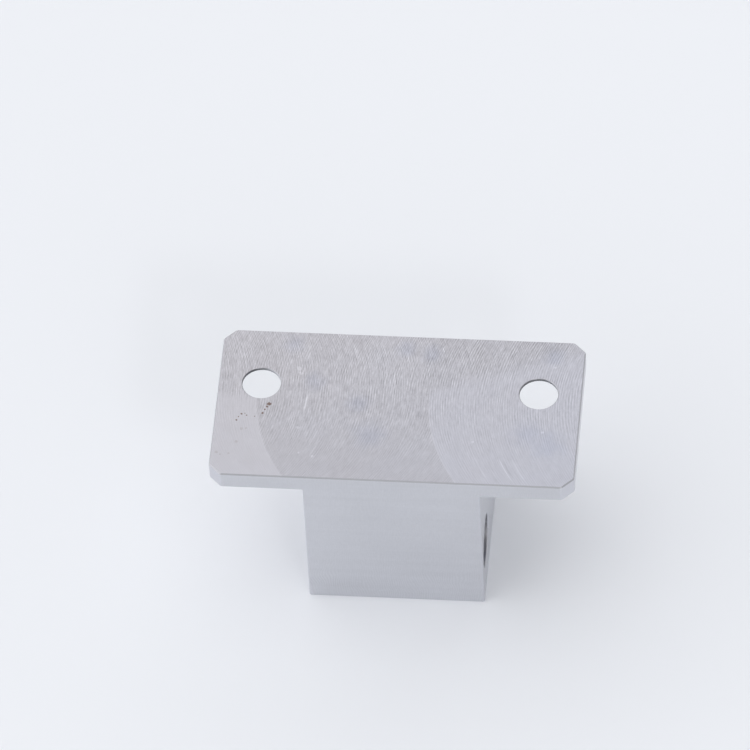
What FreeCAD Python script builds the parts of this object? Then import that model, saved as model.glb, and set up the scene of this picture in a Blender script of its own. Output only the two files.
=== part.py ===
"""T-shaped machined aluminium block with a drilled mounting plate.

One solid, milled from one billet: a thin rectangular plate with clipped corners,
and a square block hanging under its middle, flush with the plate's front and back.
The plate's top is the mating face. Two screw holes go through its wings, countersunk
from below, and one bore crosses the block from side to side, near its front and foot.

Millimetres. X runs along the plate, Y from the front face to the back, Z up.
The origin is at the centre of the block's foot.
"""
import FreeCAD, Part
import math
import os

# ---- plate ----
PLATE_LENGTH = 60.0
PLATE_DEPTH = 31.0
PLATE_THICKNESS = 3.3
CORNER_CLIP = 2.0               # leg of the 45 degree cut across each corner

# ---- block ----
BLOCK_WIDTH = 29.1
BLOCK_HEIGHT = 27.5             # from the foot to the plate's underside
ROOT_RADIUS = 0.2               # left by the end mill where block and plate meet

# ---- screw holes in the plate's wings ----
HOLE_DIAMETER = 6.4             # clearance for an M6 screw
HOLE_SPACING = 45.8
HOLE_SETBACK = 19.7             # from the plate's front edge to the holes' line
HOLE_LAND = 0.5                 # straight wall left at the mating face
COUNTERSINK_ANGLE = 90.0        # full angle of the screw head's cone
HOLE_BREAK = 0.1                # deburring at the mating face

# ---- bore across the block ----
BORE_DIAMETER = 9.0
BORE_SETBACK = 6.0              # from the front face to the bore's axis
BORE_RISE = 9.0                 # from the foot to the bore's axis
BORE_CHAMFER = 0.15

# ---- finish ----
EDGE_BREAK = 0.2                # 45 degree break along every outer edge
TOOL_OVERRUN = 1.0              # how far a cutting solid passes the face it leaves by

# ---- dependent sizes ----
TOTAL_HEIGHT = BLOCK_HEIGHT + PLATE_THICKNESS
HALF_LENGTH = PLATE_LENGTH / 2
HALF_WIDTH = BLOCK_WIDTH / 2
FRONT_Y = -PLATE_DEPTH / 2
BACK_Y = PLATE_DEPTH / 2
HOLE_RADIUS = HOLE_DIAMETER / 2
HOLE_Y = FRONT_Y + HOLE_SETBACK
BORE_RADIUS = BORE_DIAMETER / 2
BORE_Y = FRONT_Y + BORE_SETBACK

UP = FreeCAD.Vector(0, 0, 1)
TO_BACK = FreeCAD.Vector(0, 1, 0)
TO_RIGHT = FreeCAD.Vector(1, 0, 0)


def root_fillet(side):
    """Concave quarter circle where the block's side meets the plate's underside.

    Returns its start on the plate's underside, its middle and its end on the side wall
    (side is -1 on the left, +1 on the right).
    """
    centre_x = side * (HALF_WIDTH + ROOT_RADIUS)
    centre_z = BLOCK_HEIGHT - ROOT_RADIUS
    reach = ROOT_RADIUS * math.sqrt(0.5)
    on_plate = FreeCAD.Vector(centre_x, FRONT_Y, BLOCK_HEIGHT)
    middle = FreeCAD.Vector(centre_x - side * reach, FRONT_Y, centre_z + reach)
    on_wall = FreeCAD.Vector(side * HALF_WIDTH, FRONT_Y, centre_z)
    return on_plate, middle, on_wall


def section_wire():
    """T-shaped outline of the whole piece, in the plane of the front face."""
    def at(x, z):
        return FreeCAD.Vector(x, FRONT_Y, z)

    left_on_plate, left_middle, left_on_wall = root_fillet(-1)
    right_on_plate, right_middle, right_on_wall = root_fillet(1)
    edges = [
        Part.makeLine(at(-HALF_WIDTH, 0), at(HALF_WIDTH, 0)),
        Part.makeLine(at(HALF_WIDTH, 0), right_on_wall),
        Part.Arc(right_on_wall, right_middle, right_on_plate).toShape(),
        Part.makeLine(right_on_plate, at(HALF_LENGTH, BLOCK_HEIGHT)),
        Part.makeLine(at(HALF_LENGTH, BLOCK_HEIGHT), at(HALF_LENGTH, TOTAL_HEIGHT)),
        Part.makeLine(at(HALF_LENGTH, TOTAL_HEIGHT), at(-HALF_LENGTH, TOTAL_HEIGHT)),
        Part.makeLine(at(-HALF_LENGTH, TOTAL_HEIGHT), at(-HALF_LENGTH, BLOCK_HEIGHT)),
        Part.makeLine(at(-HALF_LENGTH, BLOCK_HEIGHT), left_on_plate),
        Part.Arc(left_on_plate, left_middle, left_on_wall).toShape(),
        Part.makeLine(left_on_wall, at(-HALF_WIDTH, 0)),
    ]
    return Part.Wire(edges)


def corner_wedge(side_x, side_y):
    """Upright triangular prism that clips one corner off the plate."""
    corner_x = side_x * HALF_LENGTH
    corner_y = side_y * BACK_Y
    leg = CORNER_CLIP + TOOL_OVERRUN
    out_x = side_x * TOOL_OVERRUN
    out_y = side_y * TOOL_OVERRUN
    base_z = BLOCK_HEIGHT - TOOL_OVERRUN
    corners = [
        FreeCAD.Vector(corner_x + out_x, corner_y + out_y, base_z),
        FreeCAD.Vector(corner_x - side_x * leg, corner_y + out_y, base_z),
        FreeCAD.Vector(corner_x + out_x, corner_y - side_y * leg, base_z),
    ]
    outline = Part.makePolygon(corners + corners[:1])
    return Part.Face(outline).extrude(UP * (PLATE_THICKNESS + 2 * TOOL_OVERRUN))


def milled_blank():
    """The T section run from front to back, with the plate's four corners clipped."""
    blank = Part.Face(section_wire()).extrude(TO_BACK * PLATE_DEPTH)
    wedges = [corner_wedge(side_x, side_y) for side_x in (-1, 1) for side_y in (-1, 1)]
    return blank.cut(wedges)


def is_root_run(edge):
    """True for the long edges on either side of a root fillet, which no tool can break."""
    middle = edge.valueAt((edge.FirstParameter + edge.LastParameter) / 2)
    near_plate = abs(middle.z - BLOCK_HEIGHT) <= ROOT_RADIUS * 1.01
    near_wall = abs(abs(middle.x) - HALF_WIDTH) <= ROOT_RADIUS * 1.01
    return near_plate and near_wall and edge.Length > PLATE_DEPTH / 2


def broken_edges(blank):
    """Every outer edge, deburred with a small 45 degree break."""
    edges = [edge for edge in blank.Edges if not is_root_run(edge)]
    return blank.makeChamfer(EDGE_BREAK, edges)


def screw_hole(side):
    """Cutting solid of one screw hole: deburred mouth, straight land, cone from below."""
    cone_depth = PLATE_THICKNESS - HOLE_LAND
    cone_slope = math.tan(math.radians(COUNTERSINK_ANGLE / 2))
    low_depth = cone_depth + TOOL_OVERRUN
    low_radius = HOLE_RADIUS + low_depth * cone_slope
    cone_top = TOTAL_HEIGHT - HOLE_LAND
    above = TOTAL_HEIGHT + TOOL_OVERRUN
    profile = [
        (0, cone_top - low_depth),
        (low_radius, cone_top - low_depth),
        (HOLE_RADIUS, cone_top),
        (HOLE_RADIUS, TOTAL_HEIGHT - HOLE_BREAK),
        (HOLE_RADIUS + HOLE_BREAK + TOOL_OVERRUN, above),
        (0, above),
    ]
    return turned(profile, FreeCAD.Vector(side * HOLE_SPACING / 2, HOLE_Y, 0), UP)


def cross_bore():
    """Cutting solid of the bore along X, with a 45 degree chamfer at each mouth."""
    end = HALF_WIDTH + TOOL_OVERRUN
    neck = HALF_WIDTH - BORE_CHAMFER
    flare = BORE_RADIUS + BORE_CHAMFER + TOOL_OVERRUN
    profile = [
        (0, -end),
        (flare, -end),
        (BORE_RADIUS, -neck),
        (BORE_RADIUS, neck),
        (flare, end),
        (0, end),
    ]
    return turned(profile, FreeCAD.Vector(0, BORE_Y, BORE_RISE), TO_RIGHT)


def turned(profile, place, axis):
    """Solid of revolution of (radius, height) points, set at place along axis."""
    points = [FreeCAD.Vector(radius, 0, height) for radius, height in profile]
    outline = Part.makePolygon(points + points[:1])
    solid = Part.Face(outline).revolve(FreeCAD.Vector(0, 0, 0), UP, 360)
    solid.Placement = FreeCAD.Placement(place, FreeCAD.Rotation(UP, axis))
    return solid


def bracket():
    """The finished piece."""
    body = broken_edges(milled_blank())
    body = body.cut([screw_hole(-1), screw_hole(1), cross_bore()])
    return body.Solids[0]


os.makedirs("parts", exist_ok=True)
bracket().exportStep("parts/bracket.step")
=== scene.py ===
"""Finish and stage for the machined aluminium mounting block.

The block is one milled solid, loaded as the frame. This file gives it the finish of
bare milled aluminium, with the arcs of the face mill across its top, the feed marks of
the end mill down its walls and the marks of handling, and sets it on a pale floor.
"""
import math

import bpy
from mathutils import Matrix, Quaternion, Vector


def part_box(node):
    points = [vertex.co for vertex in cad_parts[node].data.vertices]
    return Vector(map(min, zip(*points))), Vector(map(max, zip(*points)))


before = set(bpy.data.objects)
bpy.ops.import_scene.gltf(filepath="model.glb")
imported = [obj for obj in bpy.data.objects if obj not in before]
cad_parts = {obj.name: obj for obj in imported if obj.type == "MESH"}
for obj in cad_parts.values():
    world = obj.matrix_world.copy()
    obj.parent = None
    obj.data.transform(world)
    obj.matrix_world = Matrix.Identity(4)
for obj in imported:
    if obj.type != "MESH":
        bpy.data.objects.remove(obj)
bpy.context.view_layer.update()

PART_LOW, PART_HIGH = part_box("bracket")

bl_info = {
    "name": "Milled Mounting Block",
    "version": (1, 0, 0),
    "blender": (4, 5, 0),
    "location": "3D View > Sidebar > Block",
    "description": "Milled aluminium finish and studio for a T-shaped mounting block",
    "category": "Object",
}

MM = 1000.0                     # patterns are written in millimetres
TOP_Z = PART_HIGH.z * MM
FOOT_Z = PART_LOW.z * MM
FRONT_Y = PART_LOW.y * MM

# ---- machining, in mm. A depth is counted back from the plate's front edge ----
PASS_DEPTH = 18.15              # the face mill's centre ran along the plate at this depth
LEFT_STOP = 8.0                 # the cutter's centre where it dwelt: the left boundary arc
RIGHT_STOP = 36.5               # and the right one
STOP_BLUR = 0.25                # half the width over which the marks change there
END_MILL_RADIUS = 6.0           # the cutter of the foot and the plate's underside
CROSS_BORE = (FRONT_Y + 6.0, 9.0)
CROSS_BORE_RADIUS = 4.5
SCREW_HOLE_X = 22.9
SCREW_HOLE_DEPTH = 19.7
SCREW_HOLE_RADIUS = 3.2
HOLE_MARGIN = 0.05              # a hole's finish reaches this far past its wall

# how squarely a face looks along an axis, from 0 to 1
SQUARE_ON = 0.98
LEANING_UP = 0.3

# ---- the room: its brightness by height, and soft patches in it ----
ROOM_LOW = (0.42, 1.72)         # a direction's height, and the brightness up to it
ROOM_HIGH = (0.82, 0.72)        # and the same from here up
# turn and rise in degrees, cosine where it starts and where it is whole, change
ROOM_PATCHES = (
    (98, 20, 0.50, 0.90, -0.72),
    (-95, 20, 0.20, 0.95, 0.20),
    (-6, 42, 0.90, 0.985, -0.70),
)
ROOM_COLOUR = (0.985, 0.99, 1.0, 1.0)
BACKDROP_COLOUR = (0.82, 0.84, 0.88, 1.0)

# ---- spots on the plate's top: x, depth, radius ----
STAINS = (
    (-21.25, 15.30, 0.40), (-21.55, 14.70, 0.22), (-21.85, 14.10, 0.16), (-22.15, 13.30, 0.22),
    (-25.60, 12.95, 0.20), (-25.05, 13.10, 0.10), (-24.75, 12.70, 0.14), (-26.05, 12.35, 0.12),
    (-26.30, 11.60, 0.18), (-23.40, 12.55, 0.10),
)
FAINT_STAINS = (
    (-25.30, 9.80, 0.30), (-24.60, 9.95, 0.20), (-29.00, 4.65, 0.28), (-28.35, 4.20, 0.18),
    (-26.95, 4.50, 0.20), (-25.90, 7.05, 0.30),
)
SCUFFS = (
    (-17.00, 23.15, 0.50), (-16.60, 22.15, 0.40), (-16.10, 10.55, 0.30), (24.10, 11.55, 0.25),
    (25.20, 25.45, 0.25), (12.80, 8.95, 0.25), (-13.20, 4.55, 0.28), (-15.50, 5.20, 0.20),
)
COLD_PATCHES = (
    (-18.20, 28.30, 1.7), (-14.20, 20.50, 1.9), (-6.60, 16.30, 1.9), (0.40, 28.10, 1.6),
    (4.80, 27.30, 1.7), (24.80, 27.70, 1.8), (21.80, 10.90, 2.6), (25.00, 9.00, 2.8),
    (-4.00, 9.50, 2.6),
)
# scratches along the arcs: the cutter's centre, depth from, depth to, half width, strength
CLOSING_SCRATCHES = (
    (-29.60, 24.85, 28.15, 0.07, 1.0), (-32.35, 19.25, 24.05, 0.06, 0.8),
    (-23.30, 27.65, 28.95, 0.10, 1.0), (-46.65, 13.65, 17.75, 0.16, 1.0),
    (-34.10, 16.25, 18.75, 0.10, 0.6), (-38.00, 24.75, 29.75, 0.06, 0.5),
    (-43.40, 6.25, 10.75, 0.10, 0.5), (-42.20, 4.25, 8.25, 0.09, 0.5),
    (-39.20, 5.75, 11.25, 0.08, 0.4),
)
OPENING_SCRATCHES = (
    (46.25, 0.35, 6.25, 0.10, 0.6), (46.75, 1.25, 5.65, 0.16, -0.4),
    (48.40, 0.25, 5.95, 0.22, 0.3), (42.30, 0.25, 6.75, 0.16, 0.3),
    (43.60, 0.35, 2.95, 0.12, -0.3), (34.20, 24.55, 28.25, 0.09, -0.6),
)


class NodeSheet:
    """Adds nodes to one material or world. Each call returns the new node's output."""

    def __init__(self, tree):
        self.tree = tree
        tree.nodes.clear()

    def add(self, kind, **settings):
        """A new node with its plain settings made."""
        node = self.tree.nodes.new(kind)
        for name, value in settings.items():
            setattr(node, name, value)
        return node

    def feed(self, socket, value):
        """Joins another node's output to a socket, or writes a fixed value on it."""
        if isinstance(value, bpy.types.NodeSocket):
            self.tree.links.new(value, socket)
        else:
            socket.default_value = value

    def math(self, operation, *values):
        """One step of arithmetic on numbers."""
        node = self.add("ShaderNodeMath", operation=operation)
        for socket, value in zip(node.inputs, values):
            self.feed(socket, value)
        return node.outputs[0]

    def product(self, *values):
        """Several numbers multiplied together."""
        result = values[0]
        for value in values[1:]:
            result = self.math("MULTIPLY", result, value)
        return result

    def weighted(self, *terms, base=0.0):
        """A base, plus each value times its weight."""
        result = base
        for value, weight in terms:
            result = self.math("MULTIPLY_ADD", value, weight, result)
        return result

    def inverse(self, value):
        """One minus a number."""
        return self.math("SUBTRACT", 1.0, value)

    def vector(self, operation, *values):
        """One step of arithmetic on vectors."""
        node = self.add("ShaderNodeVectorMath", operation=operation)
        sockets = list(node.inputs[:3])
        if operation == "SCALE":
            sockets = [node.inputs[0], node.inputs["Scale"]]
        for socket, value in zip(sockets, values):
            self.feed(socket, value)
        is_number = operation in ("DOT_PRODUCT", "LENGTH", "DISTANCE")
        return node.outputs["Value" if is_number else "Vector"]

    def combine(self, x=0.0, y=0.0, z=0.0):
        """A vector of three numbers."""
        node = self.add("ShaderNodeCombineXYZ")
        for socket, value in zip(node.inputs, (x, y, z)):
            self.feed(socket, value)
        return node.outputs[0]

    def split(self, vector):
        """The three numbers of a vector."""
        node = self.add("ShaderNodeSeparateXYZ")
        self.feed(node.inputs[0], vector)
        return node.outputs[0], node.outputs[1], node.outputs[2]

    def ease(self, value, low, high, start=0.0, end=1.0):
        """Runs smoothly from start, at or under low, to end, at or over high."""
        node = self.add("ShaderNodeMapRange", interpolation_type="SMOOTHSTEP")
        for socket, setting in zip(node.inputs, (value, low, high, start, end)):
            self.feed(socket, setting)
        return node.outputs[0]

    def noise(self, vector, scale=1.0, detail=2.0, roughness=0.5):
        """Soft random values about zero, between -1 and 1."""
        node = self.add("ShaderNodeTexNoise", noise_dimensions="3D", normalize=True)
        self.feed(node.inputs["Vector"], vector)
        node.inputs["Scale"].default_value = scale
        node.inputs["Detail"].default_value = detail
        node.inputs["Roughness"].default_value = roughness
        return self.math("MULTIPLY_ADD", node.outputs[0], 2.0, -1.0)

    def tint(self, colour, mask, change):
        """Adds a change of colour where the mask is."""
        return self.vector("MULTIPLY_ADD", self.combine(mask, mask, mask), change, colour)


class Surface:
    """Where a point lies on the block, in millimetres, and which face it is on."""

    def __init__(self, sheet):
        place = sheet.add("ShaderNodeTexCoord").outputs["Object"]
        self.place = sheet.vector("SCALE", place, MM)
        self.x, self.y, self.z = sheet.split(self.place)
        self.depth = sheet.math("SUBTRACT", self.y, FRONT_Y)
        facing = sheet.add("ShaderNodeNewGeometry").outputs["True Normal"]
        facing_x, facing_y, facing_z = sheet.split(facing)
        level = sheet.math("ABSOLUTE", facing_z)
        across = sheet.math("ABSOLUTE", facing_x)
        ahead = sheet.math("ABSOLUTE", facing_y)
        self.flat = sheet.math("GREATER_THAN", level, SQUARE_ON)
        self.top = sheet.math("GREATER_THAN", facing_z, SQUARE_ON)
        self.upward = sheet.math("GREATER_THAN", facing_z, LEANING_UP)
        square_x = sheet.math("GREATER_THAN", across, SQUARE_ON)
        square_y = sheet.math("GREATER_THAN", ahead, SQUARE_ON)
        self.wall = sheet.math("MAXIMUM", square_x, square_y)
        # along a wall: X on the front and back, Y on the sides
        self.run = sheet.weighted((self.x, ahead), (self.y, across))


def arc_lines(sheet, across, along, pitch, seed):
    """Cutter marks: regular feed lines of uneven depth, and the torn lines between them.

    across runs over the lines and along runs down them, both in mm, as is the pitch.
    """
    drift = sheet.noise(sheet.combine(across, sheet.product(along, 0.12), seed), 0.35, 1.0)
    phase = sheet.math("MULTIPLY_ADD", drift, 0.9, sheet.math("DIVIDE", across, pitch))
    wave = sheet.math("SINE", sheet.product(phase, math.tau))
    depth = sheet.noise(sheet.combine(across, sheet.product(along, 0.35), seed + 3.0), 0.7, 2.0)
    regular = sheet.product(wave, sheet.math("MULTIPLY_ADD", depth, 1.6, 0.6))
    stretched = sheet.combine(sheet.product(across, 3.0), sheet.product(along, 0.6), seed)
    fine = sheet.noise(stretched, 1.0, 3.0, 0.8)
    broad = sheet.noise(sheet.combine(across, sheet.product(along, 0.12), seed + 7.0), 0.8, 2.0)
    return regular, sheet.math("MULTIPLY_ADD", broad, 0.20, fine)


def stroke(sheet, across, along, at, start, end, half_width):
    """A mark that follows the lines: 1 on it, 0 off it, thinning to its ends."""
    near = sheet.math("ABSOLUTE", sheet.math("SUBTRACT", across, at))
    middle = (start + end) / 2
    reach = (end - start) / 2
    beyond = sheet.math("ABSOLUTE", sheet.math("SUBTRACT", along, middle))
    fade = sheet.ease(beyond, reach * 0.4, reach, 1.0, 0.0)
    return sheet.product(sheet.ease(near, half_width * 0.3, half_width * 1.6, 1.0, 0.0), fade)


def spots(sheet, surface, places, ragged, inner=0.6, outer=1.15):
    """Irregular blots: 1 inside any of them, fading between two shares of its radius."""
    result = 0.0
    for x, depth, radius in places:
        away = sheet.vector("DISTANCE", surface.place, (x, FRONT_Y + depth, TOP_Z))
        edge = sheet.math("MULTIPLY_ADD", ragged, radius * 0.6, away)
        blot = sheet.ease(edge, radius * inner, radius * outer, 1.0, 0.0)
        result = sheet.math("MAXIMUM", result, blot)
    return result


class BilletFinish(bpy.types.PropertyGroup):
    """Sizes and colours of the milled finish."""

    metal: bpy.props.FloatVectorProperty(
        name="Metal", description="Colour of the bare aluminium",
        subtype="COLOR", min=0.0, max=1.0, default=(0.650, 0.652, 0.694))
    stain: bpy.props.FloatVectorProperty(
        name="Stain", description="Colour of the brown spots on the plate",
        subtype="COLOR", min=0.0, max=1.0, default=(0.22, 0.15, 0.12))
    roughness: bpy.props.FloatProperty(
        name="Roughness", description="Roughness of the milled faces",
        subtype="FACTOR", min=0.0, max=1.0, default=0.34)
    cutter_radius: bpy.props.FloatProperty(
        name="Cutter radius", description="Radius of the face mill's arcs",
        unit="LENGTH", min=0.02, max=0.1, default=0.0315)
    feed: bpy.props.FloatProperty(
        name="Feed", description="Distance between the cutter's marks",
        unit="LENGTH", precision=5, min=0.0001, max=0.002, default=0.00041)
    mark_depth: bpy.props.FloatProperty(
        name="Mark depth", description="Height of the cutter's marks",
        unit="LENGTH", precision=6, min=0.0, max=0.0001, default=0.000004)


def face_milled_top(sheet, surface, finish):
    """Tone, tints and height of the plate's top: the marks of two crossing families of cutter
    arcs, with painted reflection and painted shade in its zones.
    """
    radius = finish.cutter_radius * MM
    pitch = finish.feed * MM
    off = sheet.math("SUBTRACT", surface.depth, PASS_DEPTH)
    lag = sheet.math("SQRT", sheet.math("SUBTRACT", radius ** 2, sheet.product(off, off)))
    opening = sheet.math("ADD", surface.x, lag)         # marks bowed towards -X
    closing = sheet.math("SUBTRACT", surface.x, lag)    # marks bowed towards +X
    haze = sheet.noise(surface.place, 0.11, 3.0, 0.55)
    mottle = sheet.noise(sheet.vector("ADD", surface.place, (31.0, 7.0, 0.0)), 0.45, 3.0, 0.6)

    # zones of the top, each 1 inside and 0 outside. Upper right is a share of upper
    depth = surface.depth
    lower = sheet.ease(sheet.math("MULTIPLY_ADD", mottle, 2.0, depth), 15.6, 18.2, 1.0, 0.0)
    past_left = sheet.ease(opening, LEFT_STOP - STOP_BLUR, LEFT_STOP + STOP_BLUR)
    past_right = sheet.ease(opening, RIGHT_STOP - STOP_BLUR, RIGHT_STOP + STOP_BLUR)
    middle = sheet.product(past_left, sheet.inverse(past_right), lower)
    left = sheet.product(sheet.inverse(past_left), lower)
    slope = sheet.math("MULTIPLY_ADD", surface.x, -0.40, depth)
    right_top = sheet.ease(sheet.math("MULTIPLY_ADD", haze, 2.5, slope), 15.5, 19.5, 1.0, 0.0)
    right = sheet.product(past_right, right_top)
    upper = sheet.product(sheet.inverse(lower), sheet.inverse(right))
    upper_right = sheet.product(upper, sheet.ease(surface.x, -2.0, 12.0))
    worn = sheet.ease(depth, 2.0, 17.0)         # the marks are stronger towards the back

    open_wave, open_torn = arc_lines(sheet, opening, depth, pitch, 11.0)
    close_wave, close_torn = arc_lines(sheet, closing, depth, pitch, 23.0)
    open_share = sheet.weighted(
        (right, 0.55), (left, 0.05), (upper, 0.45), (upper_right, 0.45), base=0.26)
    close_share = sheet.weighted(
        (middle, 0.95), (upper, 0.75), (upper_right, -0.35), base=0.16)
    wave = sheet.weighted(
        (open_wave, open_share), (sheet.product(close_wave, close_share), 0.7))
    torn = sheet.weighted((open_torn, open_share), (close_torn, close_share))
    strength = sheet.math("MULTIPLY_ADD", worn, 0.6, 0.4)
    lines = sheet.product(sheet.math("MULTIPLY_ADD", wave, 0.35, torn), strength)

    scratches = 0.0
    for family, marks in ((closing, CLOSING_SCRATCHES), (opening, OPENING_SCRATCHES)):
        for at, start, end, half_width, weight in marks:
            mark = stroke(sheet, family, depth, at, start, end, half_width)
            scratches = sheet.math("MULTIPLY_ADD", mark, weight, scratches)
    rims = 0.0
    for stop in (LEFT_STOP, RIGHT_STOP):
        off_stop = sheet.math("ABSOLUTE", sheet.math("SUBTRACT", opening, stop))
        rims = sheet.math("MULTIPLY_ADD", sheet.ease(off_stop, 0.05, 0.3, 1.0, 0.0), lower, rims)

    ragged = sheet.noise(surface.place, 3.5, 3.0)
    scuffs = spots(sheet, surface, SCUFFS, ragged)
    cold = spots(
        sheet, surface, COLD_PATCHES, sheet.noise(surface.place, 0.6, 2.0), 0.0, 1.6)
    # painted reflection: the left, right, middle and upper right terms make each zone lighter or
    # darker as its arcs reflect the room; the base is painted shade over the whole top
    tone = sheet.weighted(
        (lines, 0.36), (haze, 0.04), (mottle, 0.03), (scratches, 0.26), (rims, 0.05),
        (scuffs, 0.16), (cold, -0.04), (left, 0.080), (right, 0.055), (middle, -0.015),
        (upper_right, -0.035), base=-0.145)
    return {
        "tone": tone, "height": lines,
        "cool": sheet.weighted((surface.x, 0.010), (surface.y, -0.014), (haze, 0.35)),
        # blue: the right zone's share is a painted reflection tint, and the cold patches add to it
        "blue": sheet.weighted((right, 0.40), base=cold),
        "stain": spots(sheet, surface, STAINS, ragged),
        "faint": spots(sheet, surface, FAINT_STAINS, ragged),
    }


def milled_walls(sheet, surface, finish):
    """Tone and height of the upright faces: level bands, and upright feed marks by the foot."""
    pitch = finish.feed * MM

    def squashed(along, up, seed):
        """A place on the wall, with its run and height scaled."""
        return sheet.combine(sheet.product(surface.run, along), sheet.product(surface.z, up), seed)

    bands = sheet.noise(squashed(0.03, 1.0, 5.0), 0.8, 4.0, 0.6)
    cloud = sheet.noise(squashed(0.06, 0.11, 9.0), 1.0, 2.0)
    grain = sheet.noise(squashed(2.2, 1.1, 4.0), 1.4, 3.0)
    lean = sheet.noise(squashed(1.0, 1.0, 2.0), 0.12, 2.0)
    across = sheet.math("MULTIPLY_ADD", lean, 2.2, surface.run)
    ticks = sheet.math("SINE", sheet.product(across, math.tau / pitch))
    depth = sheet.noise(squashed(0.5, 1.0, 7.0), 0.4, 2.0)
    low_down = sheet.ease(surface.z, FOOT_Z + 2.0, FOOT_Z + 14.0, 1.0, 0.25)
    ticks = sheet.product(ticks, sheet.math("MULTIPLY_ADD", depth, 0.9, 0.5), low_down)
    return {
        "tone": sheet.weighted((bands, 0.050), (cloud, 0.050), (ticks, 0.050), (grain, 0.045)),
        "height": sheet.weighted((ticks, 0.5), (bands, 0.6), (grain, 0.4)),
    }


def milled_levels(sheet, surface, finish):
    """Tone and height of the foot and the plate's underside: end mill arcs in lanes."""
    lane = sheet.math("PINGPONG", sheet.math("ADD", surface.y, 40.0), END_MILL_RADIUS * 0.8)
    lag_squared = sheet.math("SUBTRACT", END_MILL_RADIUS ** 2, sheet.product(lane, lane))
    across = sheet.math("ADD", surface.x, sheet.math("SQRT", lag_squared))
    wave, torn = arc_lines(sheet, across, surface.y, finish.feed * MM, 41.0)
    return {
        "tone": sheet.weighted((wave, 0.03), (torn, 0.04)),
        "height": sheet.weighted((wave, 0.5), base=torn),
    }


def drilled_walls(sheet, surface):
    """Which points lie in the bore or a screw hole, the painted shade inside them, and the rings
    of the tool there.
    """
    axis_y, axis_z = CROSS_BORE
    off_bore = sheet.vector("LENGTH", sheet.combine(
        0.0, sheet.math("SUBTRACT", surface.y, axis_y), sheet.math("SUBTRACT", surface.z, axis_z)))
    in_bore = sheet.product(
        sheet.math("LESS_THAN", off_bore, CROSS_BORE_RADIUS + HOLE_MARGIN),
        sheet.inverse(surface.wall))
    off_middle = sheet.math("SUBTRACT", sheet.math("ABSOLUTE", surface.x), SCREW_HOLE_X)
    off_screw = sheet.vector("LENGTH", sheet.combine(
        off_middle, sheet.math("SUBTRACT", surface.depth, SCREW_HOLE_DEPTH)))
    in_screw = sheet.product(
        sheet.math("LESS_THAN", off_screw, SCREW_HOLE_RADIUS + HOLE_MARGIN),
        sheet.inverse(surface.flat))
    side = sheet.product(off_middle, sheet.math("SIGN", surface.x))     # towards +X in both
    # painted shade and painted reflection: each screw hole's wall darker on its left side and
    # lighter on its right
    painted_side_light = sheet.ease(side, -2.0, 2.5, -0.22, 0.16)
    rings = sheet.noise(sheet.combine(sheet.product(surface.x, 5.0), 0.0, 0.0), 1.0, 3.0, 0.6)
    bore_rings = sheet.product(rings, in_bore)
    return {
        "inside": sheet.math("MAXIMUM", in_bore, in_screw),
        # painted shade: the bore and the screw holes are darkened inside; only the rings are marks
        # of the tool
        "tone": sheet.weighted(
            (bore_rings, 0.03), (in_bore, -0.25), (in_screw, -0.52), (in_screw, painted_side_light)),
        "height": bore_rings,
    }


def bare_aluminium(finish):
    """The block's one material: each kind of face has the marks of the tool that cut it."""
    material = bpy.data.materials.new("milled_aluminium")
    material.use_nodes = True
    sheet = NodeSheet(material.node_tree)
    surface = Surface(sheet)
    top = face_milled_top(sheet, surface, finish)
    walls = milled_walls(sheet, surface, finish)
    levels = milled_levels(sheet, surface, finish)
    bores = drilled_walls(sheet, surface)
    low_level = sheet.math("SUBTRACT", surface.flat, surface.top)
    bevel = sheet.product(
        sheet.inverse(surface.flat), sheet.inverse(surface.wall), sheet.inverse(bores["inside"]))

    tone = sheet.weighted(
        (top["tone"], surface.top), (walls["tone"], surface.wall), (levels["tone"], low_level),
        # painted shade: the upward edge breaks are darkened in colour in place of the darker room
        # they reflect
        (surface.wall, -0.022), (sheet.product(bevel, surface.upward), -0.36),
        base=sheet.math("ADD", 1.0, bores["tone"]))
    colour = sheet.vector("SCALE", tuple(finish.metal), tone)
    colour = sheet.tint(colour, surface.top, (0.004, -0.004, 0.006))
    colour = sheet.tint(colour, surface.wall, (0.000, 0.004, -0.006))
    colour = sheet.tint(colour, sheet.product(top["cool"], surface.top), (-0.020, -0.004, 0.016))
    colour = sheet.tint(colour, sheet.product(top["blue"], surface.top), (-0.020, -0.010, 0.012))
    stained = sheet.add("ShaderNodeMix", data_type="RGBA")
    stain_share = sheet.weighted((top["stain"], 0.85), (top["faint"], 0.18))
    sheet.feed(stained.inputs["Factor"], sheet.product(stain_share, surface.top))
    sheet.feed(stained.inputs["A"], colour)
    sheet.feed(stained.inputs["B"], (*finish.stain, 1.0))

    height = sheet.weighted(
        (top["height"], surface.top), (walls["height"], surface.wall),
        (levels["height"], low_level), base=bores["height"])
    bump = sheet.add("ShaderNodeBump")
    bump.inputs["Strength"].default_value = 1.0
    bump.inputs["Distance"].default_value = finish.mark_depth
    sheet.feed(bump.inputs["Height"], height)

    rough = sheet.weighted(
        (sheet.product(top["stain"], surface.top), 0.3), (height, 0.02), (bevel, 0.12),
        base=finish.roughness)
    shader = sheet.add("ShaderNodeBsdfPrincipled")
    shader.inputs["Metallic"].default_value = 1.0
    sheet.feed(shader.inputs["Base Color"], stained.outputs["Result"])
    sheet.feed(shader.inputs["Roughness"], rough)
    sheet.feed(shader.inputs["Normal"], bump.outputs[0])
    output = sheet.add("ShaderNodeOutputMaterial")
    sheet.feed(output.inputs["Surface"], shader.outputs[0])
    return material


class BILLET_OT_finish_block(bpy.types.Operator):
    """Gives the milled block its bare aluminium finish"""

    bl_idname = "billet.finish_block"
    bl_label = "Finish Block"

    def execute(self, context):
        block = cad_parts["bracket"]
        material = bare_aluminium(context.scene.billet_finish)
        for slot in block.material_slots:
            slot.material = material
        return {"FINISHED"}


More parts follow.
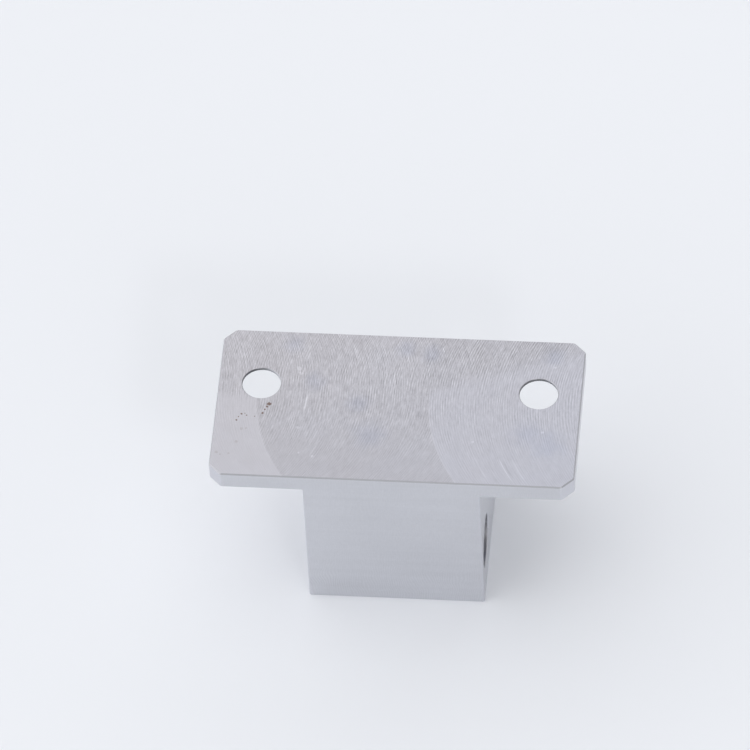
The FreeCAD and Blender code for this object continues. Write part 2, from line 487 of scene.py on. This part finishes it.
class StageSettings(bpy.types.PropertyGroup):
    """Floor, light and view."""

    floor: bpy.props.FloatVectorProperty(
        name="Floor", description="Colour of the floor",
        subtype="COLOR", min=0.0, max=1.0, default=(0.822, 0.838, 0.874))
    surround: bpy.props.FloatProperty(
        name="Surround", description="Brightness of the room around the block",
        min=0.0, max=2.0, default=0.975)
    overhead_power: bpy.props.FloatProperty(
        name="Overhead", description="Power of the large soft light overhead",
        unit="POWER", min=0.0, default=6.5)
    lamp_power: bpy.props.FloatProperty(
        name="Lamp", description="Power of the small lamp at the front right",
        unit="POWER", min=0.0, default=1.2)
    turn: bpy.props.FloatProperty(
        name="Turn", description="How far the camera is to the right of the block's front",
        subtype="ANGLE", default=math.radians(7.496))
    rise: bpy.props.FloatProperty(
        name="Rise", description="How far the camera is above level",
        subtype="ANGLE", default=math.radians(50.041))
    roll: bpy.props.FloatProperty(
        name="Roll", description="Tilt of the camera about its own line of sight",
        subtype="ANGLE", default=math.radians(-3.486))
    distance: bpy.props.FloatProperty(
        name="Distance", description="From the camera to the point it aims at",
        unit="LENGTH", min=0.1, default=1.6190)
    lens: bpy.props.FloatProperty(
        name="Lens", description="Focal length on a 36 mm sensor, in mm",
        min=50.0, max=1000.0, default=469.74)
    aim: bpy.props.FloatVectorProperty(
        name="Aim", description="From the middle of the block to the point the camera aims at",
        subtype="TRANSLATION", unit="LENGTH", default=(-0.00496, 0.01136, 0.00998))


def direction(turn, rise):
    """Unit vector from the block to a place: its turn from the front to the right, its rise."""
    level = math.cos(rise)
    return Vector((math.sin(turn) * level, -math.cos(turn) * level, math.sin(rise)))


def lay_floor(stage):
    """A pale floor, far wider than the view."""
    bpy.ops.object.select_all(action="DESELECT")
    bpy.ops.mesh.primitive_plane_add(size=6.0, location=(0.0, 0.0, PART_LOW.z))
    floor = bpy.context.object
    floor.name = "floor"
    material = bpy.data.materials.new("pale_floor")
    material.use_nodes = True
    sheet = NodeSheet(material.node_tree)
    shader = sheet.add("ShaderNodeBsdfPrincipled")
    shader.inputs["Base Color"].default_value = (*stage.floor, 1.0)
    shader.inputs["Roughness"].default_value = 0.9
    shader.inputs["Specular IOR Level"].default_value = 0.2
    output = sheet.add("ShaderNodeOutputMaterial")
    sheet.feed(output.inputs["Surface"], shader.outputs[0])
    floor.data.materials.append(material)


def light_room(stage):
    """A room brightest low down, brighter left than right, and dark behind the camera."""
    world = bpy.data.worlds.new("room")
    bpy.context.scene.world = world
    world.use_nodes = True
    sheet = NodeSheet(world.node_tree)
    towards = sheet.add("ShaderNodeTexCoord").outputs["Generated"]
    height = sheet.split(towards)[2]
    level = sheet.ease(height, ROOM_LOW[0], ROOM_HIGH[0], ROOM_LOW[1], ROOM_HIGH[1])
    for turn, rise, edge, core, change in ROOM_PATCHES:
        centre = direction(math.radians(turn), math.radians(rise))
        nearness = sheet.vector("DOT_PRODUCT", towards, centre)
        level = sheet.math("ADD", level, sheet.ease(nearness, edge, core, 0.0, change))
    background = sheet.add("ShaderNodeBackground")
    sheet.feed(background.inputs["Strength"], sheet.product(level, stage.surround))
    background.inputs["Color"].default_value = ROOM_COLOUR
    backdrop = sheet.add("ShaderNodeBackground")
    backdrop.inputs["Color"].default_value = BACKDROP_COLOUR
    backdrop.inputs["Strength"].default_value = 1.0
    mix = sheet.add("ShaderNodeMixShader")
    sheet.feed(mix.inputs[0], sheet.add("ShaderNodeLightPath").outputs["Is Camera Ray"])
    sheet.feed(mix.inputs[1], background.outputs[0])
    sheet.feed(mix.inputs[2], backdrop.outputs[0])
    output = sheet.add("ShaderNodeOutputWorld")
    sheet.feed(output.inputs["Surface"], mix.outputs[0])


def hang_light(name, turn, rise, distance, size, power, mirrored=True):
    """A square soft light that faces the block. If not mirrored, it lights only matt surfaces."""
    towards = direction(math.radians(turn), math.radians(rise))
    bpy.ops.object.light_add(type="AREA", location=towards * distance)
    light = bpy.context.object
    light.name = name
    light.rotation_euler = towards.to_track_quat("Z", "Y").to_euler()
    light.data.shape = "SQUARE"
    light.data.size = size
    light.data.energy = power
    light.visible_glossy = mirrored


def aim_camera(stage):
    """The camera, on a long lens."""
    target = (PART_LOW + PART_HIGH) / 2 + Vector(stage.aim)
    towards = direction(stage.turn, stage.rise)
    bpy.ops.object.camera_add(location=target + towards * stage.distance)
    camera = bpy.context.object
    camera.name = "camera"
    facing = towards.to_track_quat("Z", "Y") @ Quaternion((0.0, 0.0, 1.0), stage.roll)
    camera.rotation_euler = facing.to_euler()
    camera.data.sensor_width = 36.0
    camera.data.lens = stage.lens
    camera.data.clip_start = 0.01
    camera.data.clip_end = 20.0
    bpy.context.scene.camera = camera


class BILLET_OT_set_stage(bpy.types.Operator):
    """Lays the floor, lights the room and sets the camera"""

    bl_idname = "billet.set_stage"
    bl_label = "Set Stage"

    def execute(self, context):
        stage = context.scene.billet_stage
        lay_floor(stage)
        light_room(stage)
        hang_light("overhead", 0.0, 90.0, 2.5, 2.4, stage.overhead_power, mirrored=False)
        hang_light("lamp", 24.0, 36.0, 1.4, 0.16, stage.lamp_power)
        aim_camera(stage)
        context.scene.view_settings.view_transform = "Standard"
        return {"FINISHED"}


class BILLET_PT_block(bpy.types.Panel):
    """Finish and stage of the milled block"""

    bl_label = "Milled Block"
    bl_idname = "BILLET_PT_block"
    bl_space_type = "VIEW_3D"
    bl_region_type = "UI"
    bl_category = "Block"

    def draw(self, context):
        layout = self.layout
        for title, group, step in (
            ("Finish", context.scene.billet_finish, "billet.finish_block"),
            ("Stage", context.scene.billet_stage, "billet.set_stage"),
        ):
            box = layout.box()
            box.label(text=title)
            for name in group.bl_rna.properties.keys():
                if name not in ("rna_type", "name"):
                    box.prop(group, name)
            box.operator(step)


CLASSES = (
    BilletFinish, StageSettings, BILLET_OT_finish_block, BILLET_OT_set_stage, BILLET_PT_block,
)


def register():
    """Makes the settings, operators and panel known."""
    for item in CLASSES:
        bpy.utils.register_class(item)
    bpy.types.Scene.billet_finish = bpy.props.PointerProperty(type=BilletFinish)
    bpy.types.Scene.billet_stage = bpy.props.PointerProperty(type=StageSettings)


def unregister():
    """Takes them away again."""
    del bpy.types.Scene.billet_stage
    del bpy.types.Scene.billet_finish
    for item in reversed(CLASSES):
        bpy.utils.unregister_class(item)


def main():
    """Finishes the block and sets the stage."""
    register()
    bpy.ops.billet.finish_block()
    bpy.ops.billet.set_stage()


if __name__ == "__main__":
    main()
